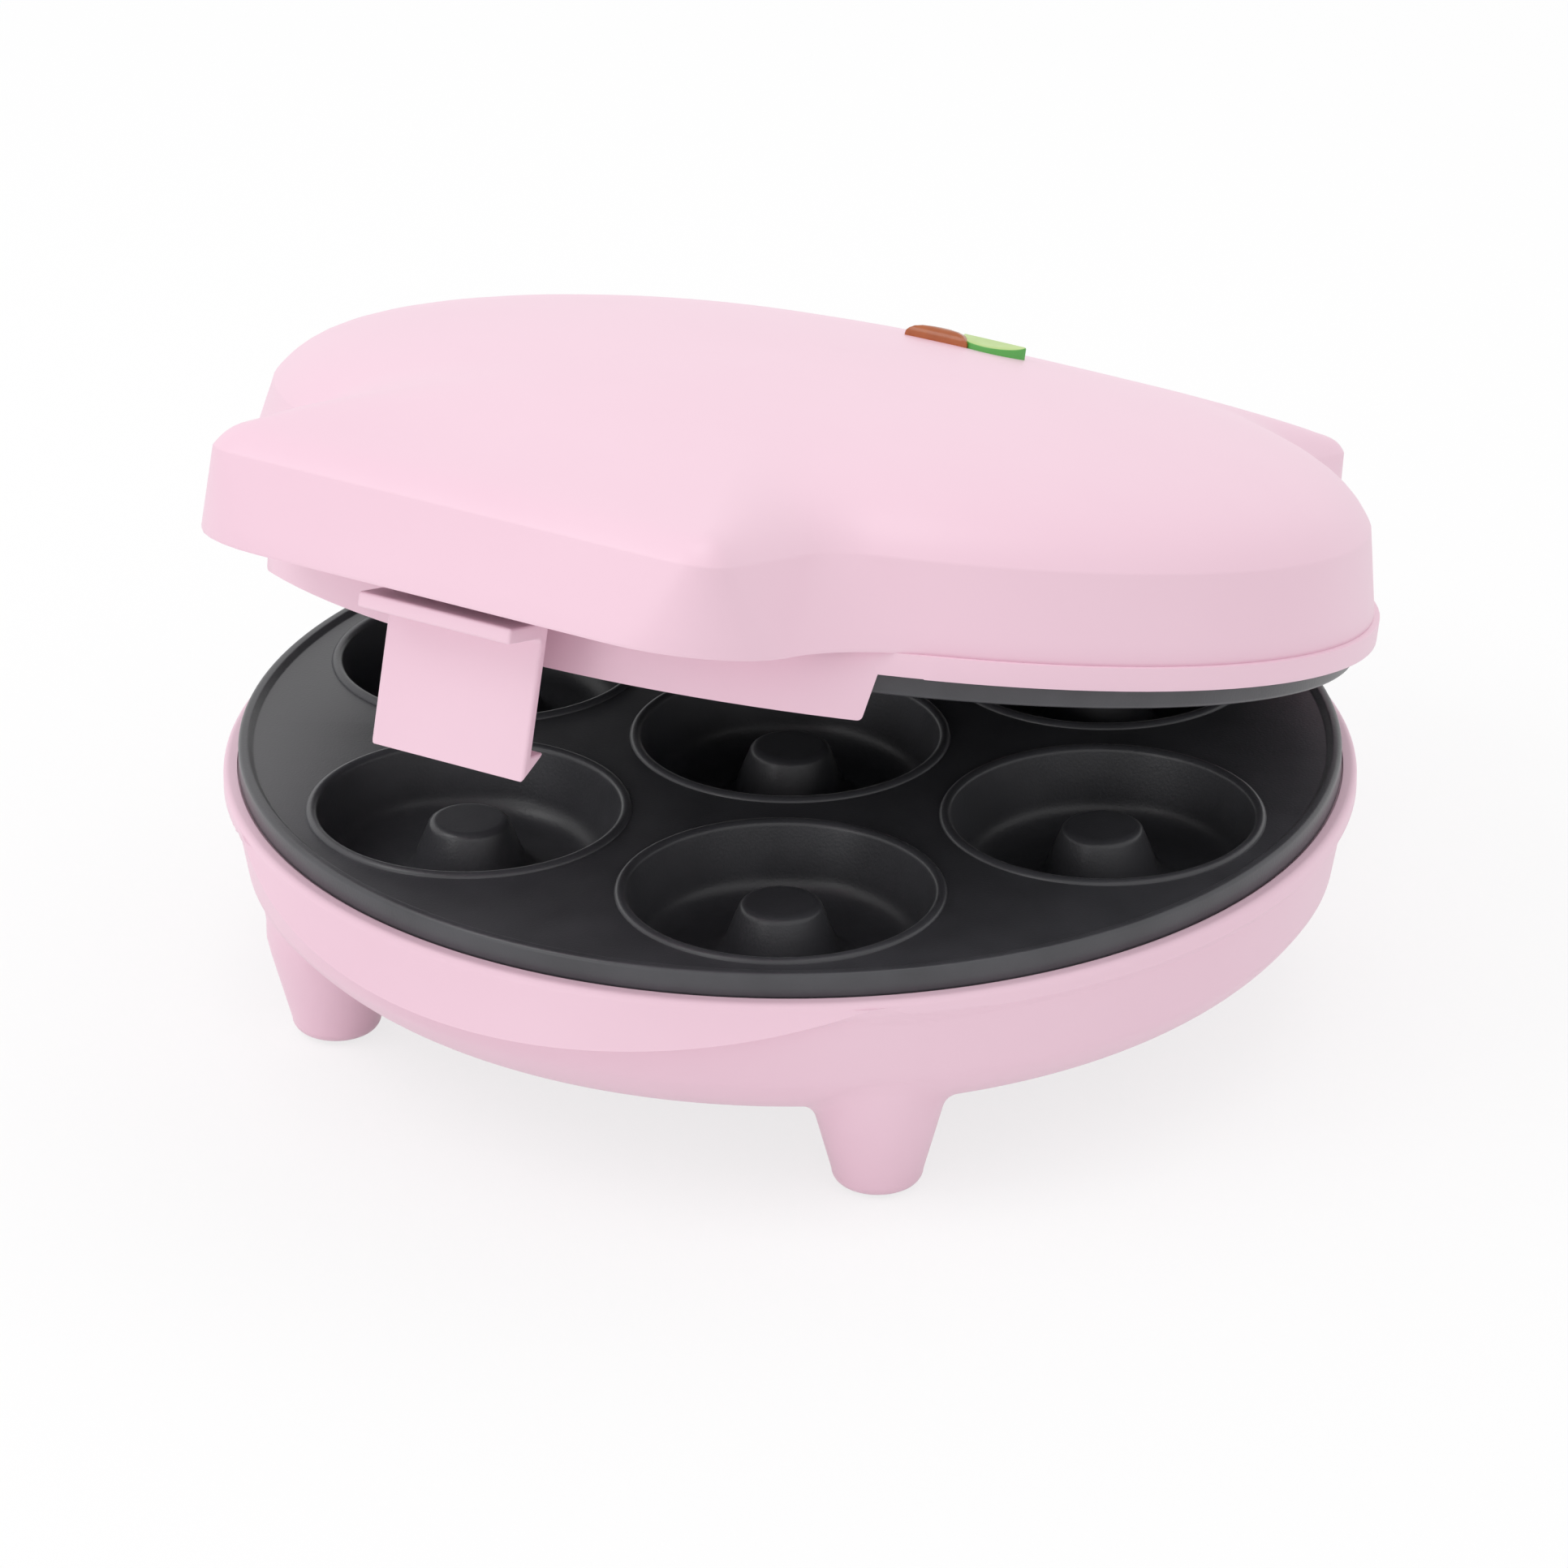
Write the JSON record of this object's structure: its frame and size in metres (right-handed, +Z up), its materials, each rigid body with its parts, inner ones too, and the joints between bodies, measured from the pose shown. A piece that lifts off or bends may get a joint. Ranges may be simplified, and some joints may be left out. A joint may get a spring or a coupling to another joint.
{
  "type": "donut maker",
  "caption": "Tabletop electric donut maker: round base on feet with ring cavities in a dark plate, and a hinged lid with a matching plate, a front latch and indicator lights.",
  "frame": {"origin": "on the table, under the middle of the object's bounding box with the lid open as at rest", "axes": "+Z up, +Y to the rear where the hinge is, -Y to the front where the latch is, +X to the right seen from the front"},
  "size_m": [0.207, 0.2416, 0.1355],
  "materials": {
    "shell": "satin moulded plastic, pale pink",
    "nonstick": "die cast, satin dark non-stick coating",
    "steel": "zinc plated",
    "element": "dull sheathed tube",
    "pan": "bright rolled sheet",
    "amber": "clear tinted moulding",
    "green": "clear tinted moulding",
    "lamp": "small sealed tube",
    "board": "moulded",
    "phenolic": "moulded resin",
    "block": "moulded",
    "gland": "moulded",
    "pad": "soft, matt"
  },
  "bodies": {
    "base": {"base_shell": "shell", "foot_pads": "pad", "hinge_pins": "steel", "cord_gland": "gland", "terminal_block": "block", "lower_plate": "nonstick", "lower_plate_screws": "steel", "lower_heater": "element", "lower_reflector": "pan", "lower_reflector_screws": "steel"},
    "lid": {"upper_plate": "nonstick", "upper_plate_screws": "steel", "upper_heater": "element", "upper_reflector": "pan", "upper_reflector_screws": "steel", "lid_shell": "shell", "lid_ring": "shell", "lid_screws": "steel", "thermostat": "phenolic", "thermal_fuse": "steel", "power_lens": "amber", "ready_lens": "green", "lamp_holder": "board", "indicator_lamps": "lamp", "latch_pin": "steel"},
    "latch": {"latch": "shell"}
  },
  "joints": [
    {"name": "lid_hinge", "type": "hinge", "parent": "base", "child": "lid", "pos_m": [0, 0.10406, 0.043], "axis": [-1, 0, 0], "range_deg": [-15.2, 75]},
    {"name": "latch_pivot", "type": "hinge", "parent": "lid", "child": "latch", "pos_m": [0, -0.10475, 0.11735], "axis": [-1, 0, 0], "range_deg": [-8, 8]}
  ]
}
